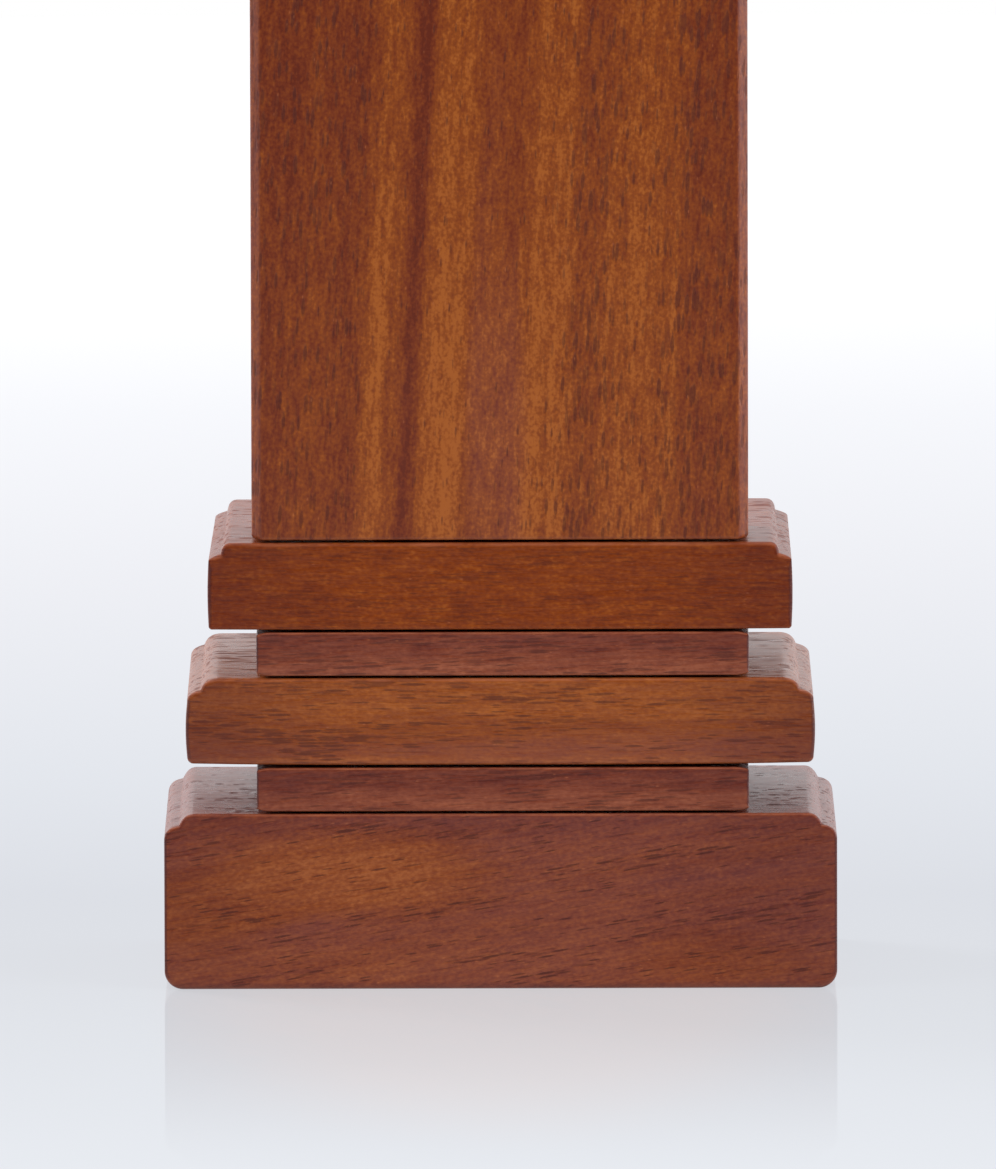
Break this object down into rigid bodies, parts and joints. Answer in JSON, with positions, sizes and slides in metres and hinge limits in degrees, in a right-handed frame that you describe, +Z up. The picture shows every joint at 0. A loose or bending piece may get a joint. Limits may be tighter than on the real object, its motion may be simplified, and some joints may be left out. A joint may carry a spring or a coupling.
{
  "type": "memorial tablet",
  "caption": "Upright plain wooden tablet on a stepped base of moulded tiers set apart by narrow neck blocks; the board lifts out of its mortise.",
  "frame": {"origin": "middle of the base's underside, on the surface it stands on", "axes": "+Z up, along the board; the front faces -Y; +X to the viewer's right, across the board's width"},
  "size_m": [0.08, 0.05, 0.1747],
  "materials": {
    "panel_wood": "satin clear lacquer on orange-brown rosewood, grain upright",
    "upper_tier_wood": "satin clear lacquer on red-brown rosewood, grain left to right",
    "upper_neck_wood": "satin clear lacquer on red-brown rosewood, grain left to right",
    "middle_tier_wood": "satin clear lacquer on golden-brown rosewood, grain left to right",
    "lower_neck_wood": "satin clear lacquer on red-brown rosewood, grain left to right",
    "bottom_tier_wood": "satin clear lacquer on red-brown rosewood, grain slightly rising to the right",
    "dowel_wood": "bare beech"
  },
  "bodies": {
    "base": {"bottom_tier": "bottom_tier_wood", "lower_neck": "lower_neck_wood", "middle_tier": "middle_tier_wood", "upper_neck": "upper_neck_wood", "upper_tier": "upper_tier_wood", "dowel_left": "dowel_wood", "dowel_right": "dowel_wood"},
    "panel": {"tablet_panel": "panel_wood"}
  },
  "joints": [
    {"name": "panel_lift", "type": "slide", "parent": "base", "child": "panel", "axis": [0, 0, 1], "range_m": [0, 0.02]}
  ]
}
